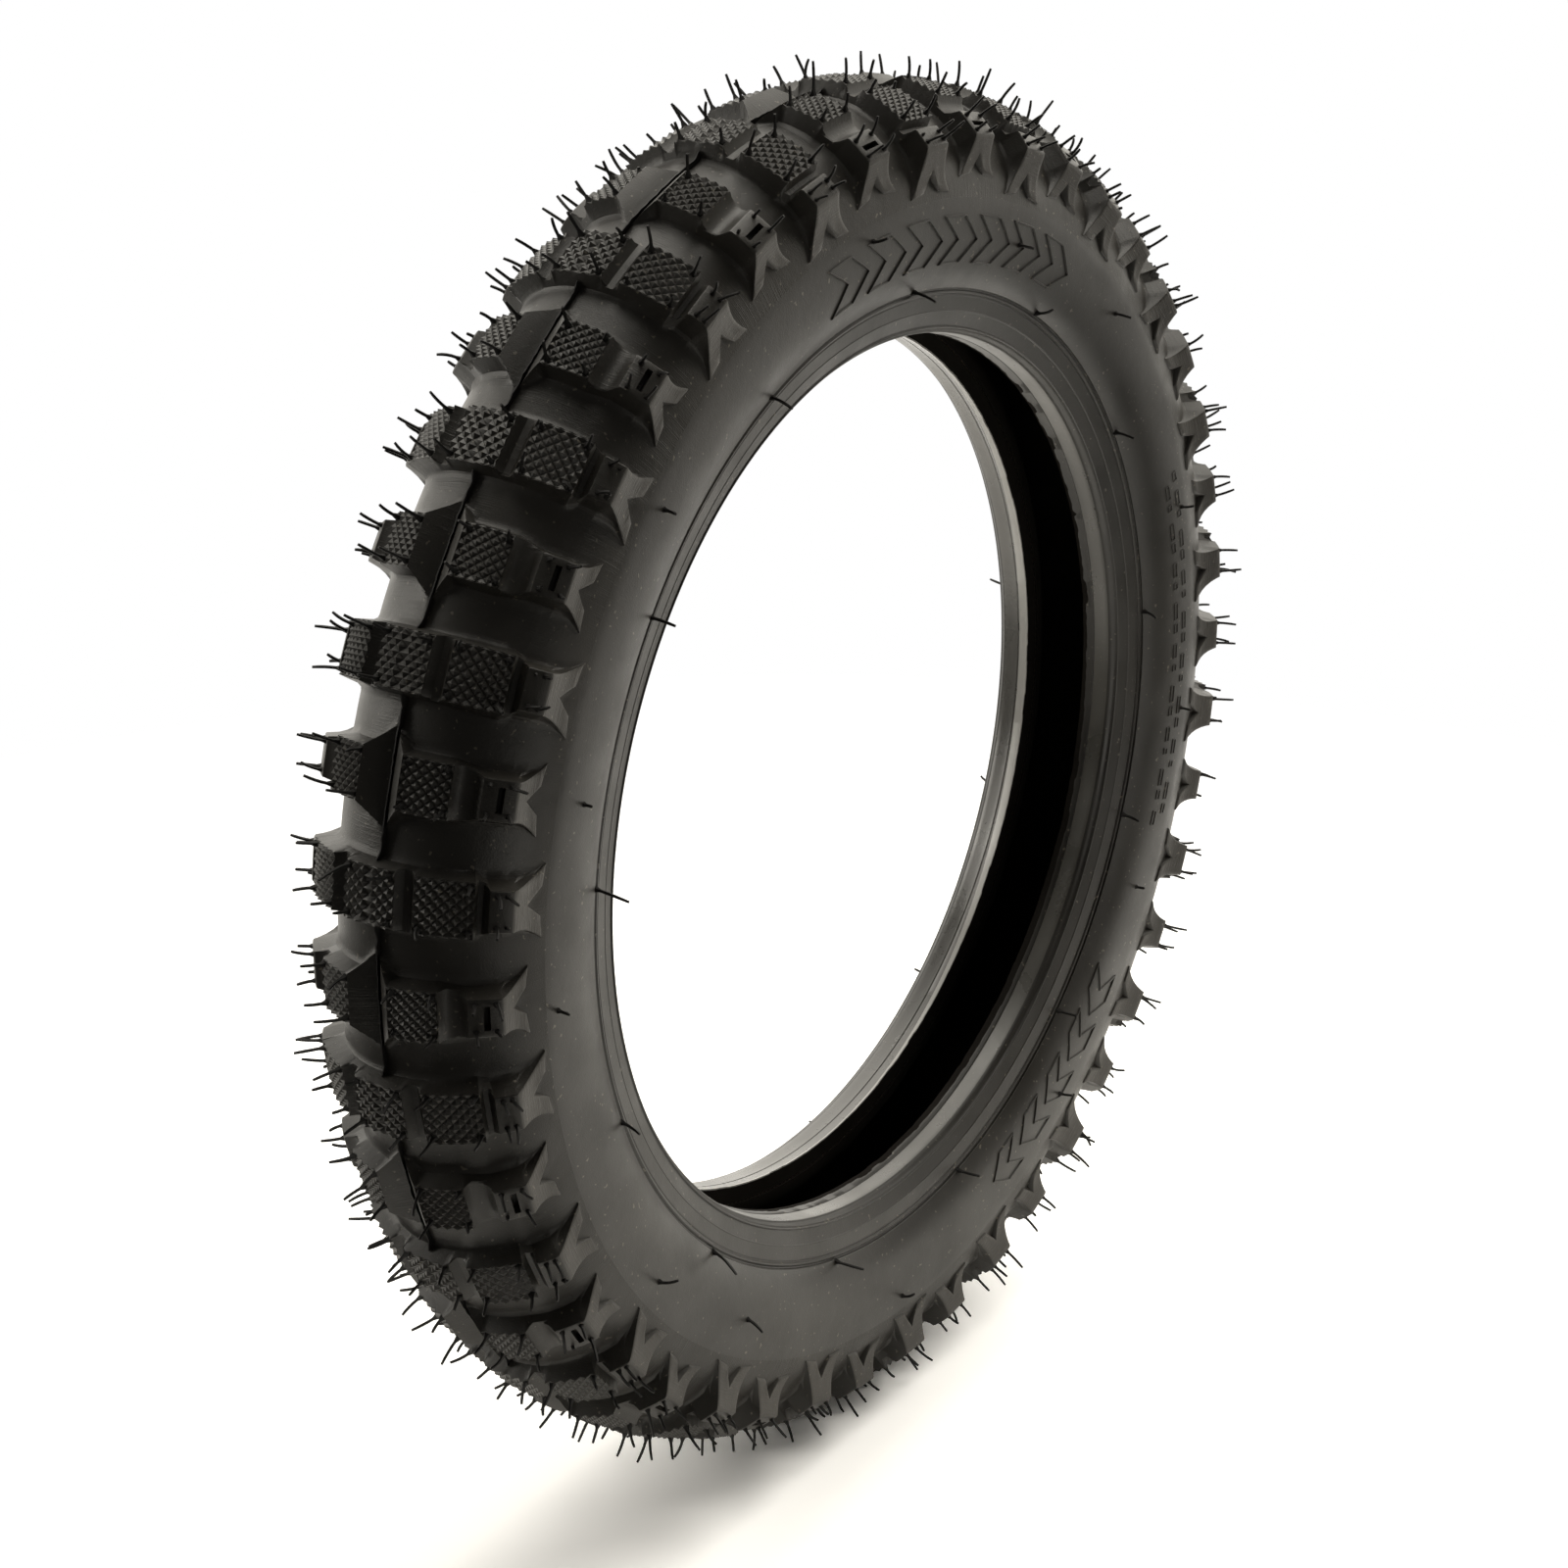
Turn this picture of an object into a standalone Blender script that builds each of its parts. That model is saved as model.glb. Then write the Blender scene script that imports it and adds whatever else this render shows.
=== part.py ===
"""A small knobby motorcycle tyre, tube type, built up from its separate layers.

Metres, +Z up. The origin is the wheel's centre and +Y is the axle, towards the left side.
The tyre stands on the flat top of its lowest centre knob, at z = -TREAD_RADIUS.

Nearly every piece is a ring, turned about the axle from a section in the (y, r) plane, where
y is the distance along the axle and r is the distance from it. The sections follow one line,
the carcass line, which is the middle of the outer ply on the left half: from the crown down the
inside of the wall, round under the bead wires, and back up the outside. Faces of neighbouring
layers are that line moved sideways, so the gaps between layers are even everywhere.
"""

import math

import bmesh
import bpy
from mathutils import Matrix, Vector

MM = 0.001

# Overall size
BEAD_RADIUS = 126.5 * MM  # where the bead sits on a 10 inch rim
HEEL_HALF_WIDTH = 20.3 * MM  # half the width over the beads at their outer corners
RIM_LINE_RADIUS = 138.8 * MM  # the line just above the rim's edge
SECTION_RADIUS = 161.2 * MM  # where the wall is widest
SECTION_HALF_WIDTH = 29.2 * MM
CROWN_RISE = 27.7 * MM  # from the widest place up to the groove floor
BEAD_DROP = 39.6 * MM  # the same semi-axis for the wall's lower part
SHOULDER_RADIUS = 166.2 * MM  # where tread rubber meets sidewall rubber
TREAD_RADIUS = 193.8 * MM  # over the centre knobs
TREAD_ARC = 39.2 * MM  # cross radius of the arc that the knobs' tops touch

# Layers
GAP = 0.25 * MM
PLY = 0.5 * MM
LINER = 0.8 * MM
WRAP = 0.4 * MM
CHAFER = 0.8 * MM
SIDEWALL = 1.6 * MM
TREAD_BASE = 3.0 * MM
LOWER_WALL_RADIUS = 152.0 * MM  # a corner of the sidewall's section, where the wall curves most

# Bead
WIRE = 0.9 * MM
WIRES_ABREAST = 4
WIRE_TURNS = 2
INNER_WALL_HALF_WIDTH = 10.4 * MM  # half the distance between the two toes
WIRE_TOP_CLEARANCE = 1.1 * MM  # straight part of the plies above the wires
WRAP_TOP_RADIUS = 137.0 * MM
FILLER_TOP_RADIUS = 147.0 * MM
LINER_END_RADIUS = 131.25 * MM
CHAFER_TOE_RADIUS = 131.0 * MM
HEEL_CHAMFER = 0.9 * MM

# Plies
CROWN_STATIONS = (70, 35, 0)  # degrees round the section, from the widest place
WALL_STATIONS = (0.25, 0.6, 1.0)  # along the curve from the widest place to the bead
TURN_UP_RADIUS = 133.0 * MM  # where the turned-up plies start to lean away from the flank
OUTER_PLY_END_RADIUS = 146.0 * MM
WALL_HANDLES = (0.45, 0.2)  # the wall curve's handles at its top and foot, as shares of its drop
INNER_PLY_END_RADIUS = 151.0 * MM

# Tread. The knobs' sizes are in millimetres. Each kind has the places of its top and of its foot
# across the tread, from its inner wall to its outer wall, half its length round the tread at top
# and foot, and how far its foot goes into the tread base.
GROOVE_STATIONS = (30, 55, 80)  # degrees round the section, as for the plies
ROW_PAIRS = 22
CENTRE_KNOB = {"top": (-7.5, 7.5), "foot": (-8.4, 8.4), "half_length": (7.1, 8.0), "sink": 2.0}
MIDDLE_KNOB = {"top": (12.6, 25.1), "foot": (11.5, 23.4), "half_length": (7.0, 8.0), "sink": 1.4}
EDGE_KNOB = {"top": (27.6, 31.4), "foot": (24.5, 27.3), "half_length": (5.0, 6.2), "sink": 1.2}
FLANK_KNOB = {"top": (6.2, 18.0), "foot": (5.3, 17.6), "half_length": (6.6, 7.6), "sink": 1.6}
SHOULDER_KNOB = {"top": (24.2, 30.1), "foot": (22.2, 26.9), "half_length": (4.8, 6.0), "sink": 1.4}

SEGMENTS = 32
CLOSING_DISTANCE = 0.01 * MM  # a ring's last section is merged with its first within this distance
HALF_FACET = math.pi / SEGMENTS

# Distances from the carcass line, positive towards the air chamber
PLY_FACE = PLY / 2
SKIN_FACE = -(PLY_FACE + GAP)
INNER_PLY_FACES = (PLY_FACE + GAP, PLY_FACE + GAP + PLY)
COVER_FACE = INNER_PLY_FACES[1] + GAP
WRAP_FACES = (SKIN_FACE - WRAP, SKIN_FACE)
CORE_FACE = WRAP_FACES[0] - GAP

RUBBER = {"rough": 0.55, "metal": 0.0}
STEEL = {"rough": 0.35, "metal": 1.0}
COLOURS = {
    "tread_rubber": (0.020, 0.019, 0.018),
    "sidewall_rubber": (0.030, 0.029, 0.028),
    "chafer_cloth": (0.045, 0.042, 0.038),
    "nylon_cord": (0.160, 0.125, 0.085),
    "liner_rubber": (0.014, 0.014, 0.015),
    "filler_rubber": (0.036, 0.034, 0.040),
    "wrap_cloth": (0.100, 0.085, 0.060),
    "bead_wire": (0.560, 0.420, 0.260),
}


def empty_scene():
    for item in list(bpy.data.objects):
        bpy.data.objects.remove(item)


def collection(name):
    made = bpy.data.collections.new(name)
    bpy.context.scene.collection.children.link(made)
    return made


def material(name, colour, rough, metal):
    made = bpy.data.materials.new(name)
    made.use_nodes = True
    shader = made.node_tree.nodes["Principled BSDF"]
    shader.inputs["Base Color"].default_value = (*colour, 1.0)
    shader.inputs["Roughness"].default_value = rough
    shader.inputs["Metallic"].default_value = metal
    made.diffuse_color = (*colour, 1.0)
    return made


def surface_point(radius, depth=0.0):
    """The point at this depth under the outside of the left wall, at this distance from the axle."""
    rise = radius - SECTION_RADIUS
    if radius >= RIM_LINE_RADIUS:
        height = CROWN_RISE if rise > 0 else BEAD_DROP
        width = SECTION_HALF_WIDTH * math.sqrt(1 - (rise / height) ** 2)
        normal = (width / SECTION_HALF_WIDTH**2, rise / height**2)
    else:
        rim = surface_point(RIM_LINE_RADIUS)
        lean = (rim[0] - HEEL_HALF_WIDTH) / (RIM_LINE_RADIUS - BEAD_RADIUS)
        width = HEEL_HALF_WIDTH + lean * (radius - BEAD_RADIUS)
        normal = (1.0, -lean)
    length = math.hypot(*normal)
    return (width - depth * normal[0] / length, radius - depth * normal[1] / length)


def bezier(points, t):
    weights = ((1 - t) ** 3, 3 * t * (1 - t) ** 2, 3 * t**2 * (1 - t), t**3)
    return tuple(sum(w * p[axis] for w, p in zip(weights, points)) for axis in (0, 1))


def moved_sideways(path, distance):
    """The path moved to the right of its direction by distance, with its corners mitred."""
    normals = []
    for a, b in zip(path, path[1:]):
        length = math.dist(a, b)
        normals.append(((b[1] - a[1]) / length, (a[0] - b[0]) / length))
    moved = []
    for point, before, after in zip(path, normals[:1] + normals, normals + normals[-1:]):
        share = distance / (1 + before[0] * after[0] + before[1] * after[1])
        moved.append(tuple(p + share * (b + a) for p, b, a in zip(point, before, after)))
    return moved


def mirrored(outline):
    return [(-y, r) for y, r in reversed(outline)]


def at_radius(path, radius):
    """The point where the path first crosses this distance from the axle."""
    for a, b in zip(path, path[1:]):
        if min(a[1], b[1]) <= radius <= max(a[1], b[1]) and a[1] != b[1]:
            share = (radius - a[1]) / (b[1] - a[1])
            return (a[0] + share * (b[0] - a[0]), radius)
    return path[-1]


def part_between(path, first, last):
    """The stretch of a path from one distance from the axle to another."""
    low, high = min(first, last) + GAP, max(first, last) - GAP
    middle = [point for point in path if low < point[1] < high]
    return [at_radius(path, first), *middle, at_radius(path, last)]


def crown_and_wall():
    """The carcass line from the crown to just above the bead wires, on the inside of the wall."""
    half_width = SECTION_HALF_WIDTH - SIDEWALL + SKIN_FACE
    rise = CROWN_RISE - TREAD_BASE + SKIN_FACE
    line = []
    for degrees in CROWN_STATIONS:
        angle = math.radians(degrees)
        line.append((half_width * math.cos(angle), SECTION_RADIUS + rise * math.sin(angle)))
    bead_y = INNER_WALL_HALF_WIDTH + LINER + COVER_FACE
    bead_r = core_bottom() + wire_stack() + WIRE_TOP_CLEARANCE
    drop = SECTION_RADIUS - bead_r
    handles = (
        line[-1],
        (half_width, SECTION_RADIUS - WALL_HANDLES[0] * drop),
        (bead_y, bead_r + WALL_HANDLES[1] * drop),
        (bead_y, bead_r),
    )
    line.extend(bezier(handles, t) for t in WALL_STATIONS)
    return line


def core_bottom():
    """Distance from the axle to the lowest wire's underside."""
    return BEAD_RADIUS + CHAFER + COVER_FACE - CORE_FACE


def wire_stack():
    """Height of the wound wires, with the rise of the spiral."""
    return WIRE + WIRE_TURNS * (WIRE + GAP)


def under_bead():
    """The carcass line's two corners under the wires, at the toe and at the heel."""
    inside = INNER_WALL_HALF_WIDTH + LINER + COVER_FACE
    bottom = BEAD_RADIUS + CHAFER + COVER_FACE
    flank_depth = CHAFER + COVER_FACE
    flank = (surface_point(BEAD_RADIUS, flank_depth), surface_point(TURN_UP_RADIUS, flank_depth))
    lean = (flank[1][0] - flank[0][0]) / (flank[1][1] - flank[0][1])
    corner_y = flank[0][0] + lean * (bottom - flank[0][1])
    return [(inside, bottom), (corner_y, bottom)]


def turn_up(*end_radii):
    """The carcass line on the outside of the bead, up to the last of these radii."""
    line = [surface_point(TURN_UP_RADIUS, CHAFER + COVER_FACE)]
    for radius in (RIM_LINE_RADIUS, *end_radii):
        line.append(surface_point(radius, SIDEWALL + COVER_FACE))
    return line


def band(path, faces):
    """The outline between two sideways moves of a path."""
    return moved_sideways(path, faces[0]) + list(reversed(moved_sideways(path, faces[1])))


def ply_outline(half, faces):
    """A ply runs from the right turn-up over the crown to the left one."""
    return band(mirrored(half) + half, faces)


def liner_outline():
    half = crown_and_wall()
    half.append((half[-1][0], LINER_END_RADIUS))
    return band(mirrored(half) + half, (COVER_FACE, COVER_FACE + LINER))


def tread_outline():
    edge = SHOULDER_RADIUS + GAP
    outer = [surface_point(edge)]
    for degrees in GROOVE_STATIONS:
        angle = math.radians(degrees)
        y = SECTION_HALF_WIDTH * math.cos(angle)
        outer.append((y, SECTION_RADIUS + CROWN_RISE * math.sin(angle)))
    inner = moved_sideways(crown_and_wall(), SKIN_FACE)
    inner_half = inner[: len(CROWN_STATIONS) - 1] + [at_radius(inner, edge)]
    half = list(reversed(outer)) + list(reversed(inner_half))
    return mirrored(half) + half


def sidewall_outline():
    foot = RIM_LINE_RADIUS + GAP
    radii = (OUTER_PLY_END_RADIUS, LOWER_WALL_RADIUS)
    outer = [surface_point(r) for r in (SHOULDER_RADIUS, SECTION_RADIUS, *reversed(radii), foot)]
    inner = [surface_point(r, SIDEWALL) for r in (foot, *radii)]
    wall = moved_sideways(crown_and_wall(), SKIN_FACE)
    inner.append(wall[len(CROWN_STATIONS) - 1])
    inner.append(at_radius(wall, SHOULDER_RADIUS))
    return outer + inner


def chafer_outline():
    top = RIM_LINE_RADIUS
    flank = [surface_point(top), surface_point(BEAD_RADIUS + HEEL_CHAMFER)]
    base = [(HEEL_HALF_WIDTH - HEEL_CHAMFER, BEAD_RADIUS), (INNER_WALL_HALF_WIDTH, BEAD_RADIUS)]
    toe = [(INNER_WALL_HALF_WIDTH, CHAFER_TOE_RADIUS)]
    line = [(under_bead()[0][0], CHAFER_TOE_RADIUS)] + under_bead() + turn_up()
    inner = moved_sideways(line, COVER_FACE)
    inner[-1] = at_radius(inner[-2:], top)
    return flank + base + toe + inner


def wrap_outline():
    wall = crown_and_wall()
    inside = [at_radius(wall, WRAP_TOP_RADIUS), wall[-1]]
    rise = turn_up()
    outside = [rise[0], at_radius(rise, WRAP_TOP_RADIUS)]
    return band(inside + under_bead() + outside, WRAP_FACES)


def filler_outline():
    foot = core_bottom() + wire_stack() + GAP
    inner = moved_sideways(crown_and_wall() + under_bead(), CORE_FACE)
    outer = moved_sideways(under_bead() + turn_up(FILLER_TOP_RADIUS), CORE_FACE)
    return part_between(inner, FILLER_TOP_RADIUS, foot) + part_between(outer, foot, FILLER_TOP_RADIUS)


def signed_area(outline):
    pairs = zip(outline, outline[1:] + outline[:1])
    return sum(a[0] * b[1] - b[0] * a[1] for a, b in pairs) / 2


def add_object(name, data, finish, target):
    made = bpy.data.objects.new(name, data)
    target.objects.link(made)
    if finish:
        made.data.materials.append(finish)
    return made


def turned(name, outline, finish, target):
    """A ring: the closed outline at +X, turned about the axle. A facet faces straight down."""
    if signed_area(outline) < 0:
        outline = list(reversed(outline))
    count = len(outline)
    mesh = bpy.data.meshes.new(name)
    edges = [(i, (i + 1) % count) for i in range(count)]
    mesh.from_pydata([(r, y, 0.0) for y, r in outline], edges, [])
    ring = add_object(name, mesh, finish, target)
    ring.rotation_euler.y = HALF_FACET
    screw = ring.modifiers.new("turn", "SCREW")
    screw.axis = "Y"
    screw.angle = 2 * math.pi
    screw.steps = SEGMENTS
    screw.render_steps = SEGMENTS
    screw.use_merge_vertices = True
    screw.merge_threshold = CLOSING_DISTANCE
    return ring


def wire_strand(name, side, place, finish, target):
    """One wire of the tape that is wound into the bead, a spiral that rises by one wire a turn."""
    curve = bpy.data.curves.new(name, "CURVE")
    curve.dimensions = "3D"
    curve.bevel_depth = WIRE / 2
    curve.bevel_resolution = 0
    curve.use_fill_caps = True
    spline = curve.splines.new("POLY")
    steps = WIRE_TURNS * SEGMENTS
    spline.points.add(steps)
    inner_edge = INNER_WALL_HALF_WIDTH + LINER + COVER_FACE - CORE_FACE
    y = side * (inner_edge + WIRE / 2 + place * (WIRE + GAP))
    for step, point in enumerate(spline.points):
        angle = 2 * math.pi * step / SEGMENTS + HALF_FACET
        r = core_bottom() + WIRE / 2 + (WIRE + GAP) * step / SEGMENTS
        point.co = (r * math.cos(angle), y, r * math.sin(angle), 1.0)
    return add_object(name, curve, finish, target)


def top_height(y):
    """Distance from the axle to the arc that the knobs' tops touch."""
    return TREAD_RADIUS - TREAD_ARC + math.sqrt(TREAD_ARC**2 - y**2)


def foot_height(y, sink):
    """Distance from the axle to a knob's foot, inside the tread base."""
    share = y / (SECTION_HALF_WIDTH - sink)
    return SECTION_RADIUS + (CROWN_RISE - sink) * math.sqrt(1 - share**2)


def add_knob(mesh, kind, side, turn):
    """A cube whose corners are moved to a knob's, standing at the top of the tyre, then turned."""
    top_length, foot_length = (length * MM for length in kind["half_length"])
    for vertex in bmesh.ops.create_cube(mesh, size=2.0)["verts"]:
        end = 0 if vertex.co.y < 0 else 1
        if vertex.co.z > 0:
            y = kind["top"][end] * MM
            height = TREAD_RADIUS if kind is CENTRE_KNOB else top_height(y)
            x = math.copysign(top_length, vertex.co.x)
        else:
            y = kind["foot"][end] * MM
            height = foot_height(y, kind["sink"] * MM)
            x = math.copysign(foot_length, vertex.co.x)
        vertex.co = turn @ Vector((x, side * y, height))


def knobs(target):
    """All the knobs as one mesh of separate blocks. One row of the first kind stands at the bottom."""
    mesh = bmesh.new()
    for row in range(2 * ROW_PAIRS):
        turn = Matrix.Rotation(math.pi + row * math.pi / ROW_PAIRS, 3, "Y")
        kinds = (MIDDLE_KNOB, EDGE_KNOB) if row % 2 == 0 else (FLANK_KNOB, SHOULDER_KNOB)
        if row % 2 == 0:
            add_knob(mesh, CENTRE_KNOB, 1, turn)
        for kind in kinds:
            add_knob(mesh, kind, 1, turn)
            add_knob(mesh, kind, -1, turn)
    bmesh.ops.triangulate(mesh, faces=mesh.faces)
    bmesh.ops.recalc_face_normals(mesh, faces=mesh.faces)
    data = bpy.data.meshes.new("knobs")
    mesh.to_mesh(data)
    mesh.free()
    made = add_object("knobs", data, None, target)
    made.hide_render = True
    made.display_type = "WIRE"
    return made


def tread(finish, target, cutters):
    """The tread base with every knob moulded onto it."""
    ring = turned("tread", tread_outline(), finish, target)
    join = ring.modifiers.new("knobs", "BOOLEAN")
    join.operation = "UNION"
    join.solver = "EXACT"
    join.object = knobs(cutters)
    return ring


def settle(made, sharp_degrees=25):
    """Replaces an object's mesh by its modified one, shaded smooth except at its real edges."""
    view = bpy.context.evaluated_depsgraph_get()
    mesh = bpy.data.meshes.new_from_object(made.evaluated_get(view))
    mesh.name = made.name
    made.modifiers.clear()
    made.data = mesh
    mesh.shade_smooth()
    mesh.set_sharp_from_angle(angle=math.radians(sharp_degrees))


def build():
    empty_scene()
    tyre = collection("motorcycle_tyre")
    cutters = collection("cutters")
    looks = {}
    for name, colour in COLOURS.items():
        looks[name] = material(name, colour, **(STEEL if name == "bead_wire" else RUBBER))

    wall = crown_and_wall()
    outer_half = wall + under_bead() + turn_up(OUTER_PLY_END_RADIUS)
    inner_half = wall + under_bead() + turn_up(OUTER_PLY_END_RADIUS, INNER_PLY_END_RADIUS)
    outer_outline = ply_outline(outer_half, (-PLY_FACE, PLY_FACE))
    inner_outline = ply_outline(inner_half, INNER_PLY_FACES)
    rings = [
        tread(looks["tread_rubber"], tyre, cutters),
        turned("outer_ply", outer_outline, looks["nylon_cord"], tyre),
        turned("inner_ply", inner_outline, looks["nylon_cord"], tyre),
        turned("inner_liner", liner_outline(), looks["liner_rubber"], tyre),
    ]
    pairs = {
        "sidewall": (sidewall_outline(), "sidewall_rubber"),
        "chafer": (chafer_outline(), "chafer_cloth"),
        "bead_filler": (filler_outline(), "filler_rubber"),
        "bead_wrap": (wrap_outline(), "wrap_cloth"),
    }
    for name, (outline, look) in pairs.items():
        rings.append(turned(name + "_left", outline, looks[look], tyre))
        rings.append(turned(name + "_right", mirrored(outline), looks[look], tyre))
    for ring in rings:
        settle(ring)
    for side, side_name in ((1, "left"), (-1, "right")):
        for place in range(WIRES_ABREAST):
            name = f"bead_wire_{side_name}_{place + 1}"
            wire_strand(name, side, place, looks["bead_wire"], tyre)


build()
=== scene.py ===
"""Looks of the motorcycle tire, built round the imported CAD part.

The visible rubber is one smooth wall line turned round the axle, with the knobs raised on it as heights
along its normal. The tyre's shapes and the camera's place are given in millimetres, the lights and the
table in metres. Angles are in degrees. A "turn" is in radians: the wall line's parameter, from 0 at the
crown, or the angle round the axle in a piece that is turned. The frame is the part's own, with the axle on
Y and up on Z, and an angle round the axle goes from +X towards +Z.
"""

import math

import bpy
import numpy as np
from mathutils import Matrix, Vector

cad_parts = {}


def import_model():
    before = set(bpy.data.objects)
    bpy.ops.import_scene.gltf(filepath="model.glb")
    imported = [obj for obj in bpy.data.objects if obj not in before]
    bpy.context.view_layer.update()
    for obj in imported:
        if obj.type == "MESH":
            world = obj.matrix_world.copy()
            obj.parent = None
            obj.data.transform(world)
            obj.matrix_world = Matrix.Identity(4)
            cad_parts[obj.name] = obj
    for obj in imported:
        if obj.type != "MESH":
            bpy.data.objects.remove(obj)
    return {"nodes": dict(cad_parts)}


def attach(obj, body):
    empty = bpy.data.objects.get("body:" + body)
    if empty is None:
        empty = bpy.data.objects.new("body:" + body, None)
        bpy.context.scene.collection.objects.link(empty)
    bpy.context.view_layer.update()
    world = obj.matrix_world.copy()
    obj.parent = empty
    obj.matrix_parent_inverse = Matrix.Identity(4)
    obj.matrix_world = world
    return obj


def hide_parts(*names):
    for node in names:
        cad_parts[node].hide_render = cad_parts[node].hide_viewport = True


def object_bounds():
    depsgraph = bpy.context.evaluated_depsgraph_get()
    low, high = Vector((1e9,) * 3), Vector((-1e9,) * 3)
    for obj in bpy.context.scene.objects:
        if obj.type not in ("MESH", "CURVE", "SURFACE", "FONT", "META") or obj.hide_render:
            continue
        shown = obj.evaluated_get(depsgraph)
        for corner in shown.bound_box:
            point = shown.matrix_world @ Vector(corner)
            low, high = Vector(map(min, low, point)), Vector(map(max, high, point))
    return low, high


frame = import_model()
cad_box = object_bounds()

MM = 0.001
SHARP = 32  # an edge that bends by more than this is shaded sharp
random = np.random.default_rng(7)

# The wall line, which is the CAD part's, and the bead's corners.
SECTION_RADIUS = 161.2
SECTION_HALF_WIDTH = 29.2
CROWN_RISE = 27.7
BEAD_DROP = 39.6
RIM_LINE = (24.08, 138.8)
HEEL = (20.3, 126.5)
TOE = (10.4, 125.7)
TREAD_RADIUS = cad_box[1].z / MM
TREAD_ARC = 39.2
SKIRT_RADIUS = 163.5  # where the tread piece ends and the sidewall piece begins
RIM_TURN = math.acos((RIM_LINE[1] - SECTION_RADIUS) / BEAD_DROP)
CUSHION = 0.5  # how far the wall swells above the rim line
CUSHION_START = math.radians(93)
CUSHION_SKEW = 1.7  # moves the fullest place of the swelling down towards the rim line

# Knobs. Two kinds of row take turns round the tyre. "blocks" are (inner y, outer y, pyramids across or 0 if
# smooth). "wide" is half a large block's length in degrees, "narrow" half the outer block's and "spread" half
# the length at the tail's end. "tail" has the radii where it ends: in its notch, beside it and at its tips.
ROW_PAIRS = 22
BOTTOM = 270  # a row of the first kind stands on the floor
ROW_A = {
    "blocks": ((0.0, 7.5, 5), (12.6, 25.1, 10), (27.6, 31.4, 0)),
    "wide": 2.1,
    "narrow": 1.6,
    "spread": 3.1,
    "tail": (170.6, 165.9, 165.2),
    "sipe": False,
}
ROW_B = {
    "blocks": ((6.2, 18.0, 9), (24.2, 30.1, 0)),
    "wide": 1.95,
    "narrow": 1.5,
    "spread": 2.9,
    "tail": (173.4, 169.6, 168.9),
    "sipe": True,
}
SECTOR = 180.0 / ROW_PAIRS / 2  # half the angle between neighbouring rows
SEAM = 0.22  # half the angle of the strip that joins two rows' meshes
TAIL_PROUD = 0.6  # how far a tail's tip stands off the wall
KNURL = 0.75  # height of the small pyramids
KNURL_LENGTHWISE = 10  # half pyramids along a block's length
KNURL_FADE = 1.2  # distance over which the pyramids fade down a block's side
SEAM_GROOVE = 0.5  # depth of the parting line over the centre blocks
EDGE_DROP = 0.16  # the broken edge of smooth blocks and tails
EDGE_WIDTH = 0.3
DRAFT = math.tan(math.radians(13))
FILLET = 1.7
FILLET_SHARE = 0.45  # a low side's fillet takes this share of its height
WEB_SHARE = 0.45  # height of the web between two blocks of a row, as a share of theirs
WEB_CURVE = 3
WIDE_WEB = 4.0  # a gap wider than this gets more lines
SIPE_DEPTH = 2.6
SIPE_PLACE = 0.35  # how far the slot lies outside the middle of its block
SIPE_HALF = 0.5  # half the slot's width
SIPE_LINES = (-0.55, -0.45, 0.45, 0.55)
SIPE_BORDER = (0, 0.58, 0.64, 1)  # the columns at 0, 0.6, 0.8 and 1 are moved here, for the slot's ends
SIPE_REACH = 0.65  # share of the block's half length that the slot takes
TREAD_INSIDE = -2.2  # height of the tread skin's plain inner face
TREAD_INSIDE_DEGREES = (-84, -60, -30, 0, 30, 60, 84)

ACROSS = (0.0, 0.2, 0.4, 0.6, 0.8, 0.955, 1.0)  # columns of a block, as shares of its half length
BESIDE = (0.03, 0.1, 0.19, 0.31, 0.52, 1.0)  # columns beside a block, as shares of the gap
WEB_STATIONS = (0.03, 0.15, 0.32, 0.5, 0.68, 0.85, 0.97)
NARROW_WEB_STATIONS = (0.06, 0.3, 0.7, 0.94)
SLOPE_RUN = 6.0  # the second kind's inner blocks slope down to the seam over this distance
SLOPE_FLARE = 1.5  # degrees by which each side of that slope widens
CROWN_GAPS = (6.2, 5.7, 4.6, 3.2, 1.8, 0.6, 0.1)  # lines of that slope, from the block's inner edge
TAIL_STATIONS = (0.1, 0.26, 0.44, 0.62, 0.8, 0.955, 1.0)
SKIRT_STATIONS = (0.06, 0.2, 0.5, 1.0)
TAIL_CURVE = 1.7
NOTCH_HALF = 0.4  # half the notch's width, as a share of half the tail's
TAIL_SAG = 0.7  # how far a tail's face hollows below a straight line

# Walls. WALL_LIP is (turn short of the rim line, height), up to the groove at that line.
WALL_STEPS = 300  # steps round the axle
WALL_INSIDE = -1.3  # height of the sidewall skin's inner face
WALL_LIP = ((0.02, 0.0), (0.012, 0.0), (0.008, 0.12), (0.004, 0.05), (0.0, -0.25))

# The bead. The grooves are (distance below the rim line, height off the flank).
BEAD_STEPS = 720
UPPER_GROOVES = ((0.0, -0.25), (0.1, -0.34), (0.45, -0.34), (0.7, 0.0), (0.9, 0.2))
RIM_GROOVES = UPPER_GROOVES + ((1.3, 0.2), (1.5, 0.0), (1.68, -0.2), (1.95, -0.2), (2.2, 0.0))
FLANK_RIBS = ((132.8, 0.14, 0.5, 0.3), (128.3, 0.42, 0.75, 0.1))  # radius, height, width and swelling
RIB = ((-0.5, 0.0), (-0.25, 0.8), (0.0, 1.0), (0.25, 0.8), (0.5, 0.0))
HEEL_ROUND = 1.5
HEEL_SINK = 0.05
HEEL_ANGLES = (-17, -40, -63, -86)
SEAT = ((17.5, 0.0), (15.8, 0.1), (14.1, 0.0), (13.85, 0.2), (13.6, 0.0))  # y and height of the seat's lines
SEAT_SLOPE = 0.06
SEAT_EDGE = (12.4, 125.8)
TOE_THICK = 0.45
INSIDE = ((10.5, 128.0), (10.35, 131.2))  # the strip's end inside the tyre
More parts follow.
